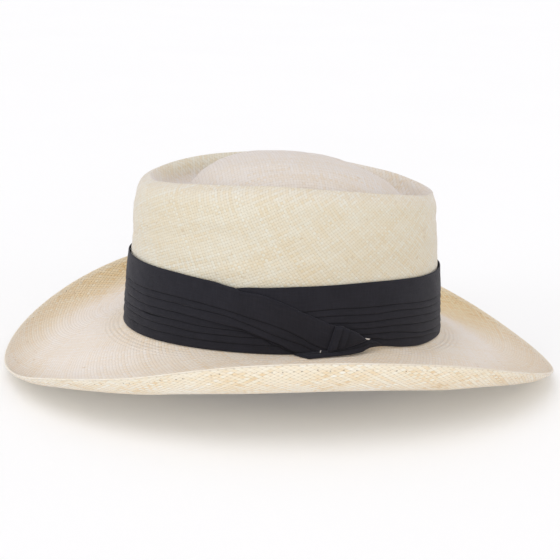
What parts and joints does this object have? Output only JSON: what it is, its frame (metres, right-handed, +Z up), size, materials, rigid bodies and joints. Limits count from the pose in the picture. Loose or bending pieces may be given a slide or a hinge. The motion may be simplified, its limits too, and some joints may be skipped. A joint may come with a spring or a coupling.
{
  "type": "straw sun hat",
  "caption": "Woven straw hat with a telescope crown, a brim curled up at the sides, a pleated cloth band knotted on the wearer's left, and a leather sweatband inside.",
  "frame": {"origin": "centre of the head opening, on the level where the crown meets the brim at the sides", "axes": "+Z up through the crown, -Y towards the front of the hat, +X towards the wearer's left"},
  "size_m": [0.3138, 0.3594, 0.1412],
  "materials": {
    "straw": "matt woven toquilla-type straw, natural cream",
    "band_cloth": "matt black plain-weave cotton cloth",
    "stay_tape": "woven grosgrain tape",
    "pale_thread": "pale sewing thread",
    "black_thread": "black sewing thread",
    "sweat_leather": "satin brown leather",
    "reed_plastic": "off-white plastic reed",
    "reed_tape": "dark folded cotton tape",
    "bow_ribbon": "satin ribbon",
    "paper": "uncoated paper, blank"
  },
  "bodies": {
    "root": {"straw_body": "straw", "hatband": "band_cloth", "hatband_over_end": "band_cloth", "knot_loop": "band_cloth", "knot_tail": "band_cloth", "band_stay_tape": "stay_tape", "knot_tack_upper": "pale_thread", "knot_tack_lower": "pale_thread", "band_tack_front": "black_thread", "band_tack_back": "black_thread", "band_tack_right": "black_thread", "sweatband": "sweat_leather", "sweat_reed": "reed_plastic", "reed_tape": "reed_tape", "sweat_stitching": "black_thread", "sweatband_seam_thread": "black_thread", "bow_ribbon": "bow_ribbon", "bow_wrap": "bow_ribbon", "size_tab": "paper"}
  },
  "joints": []
}
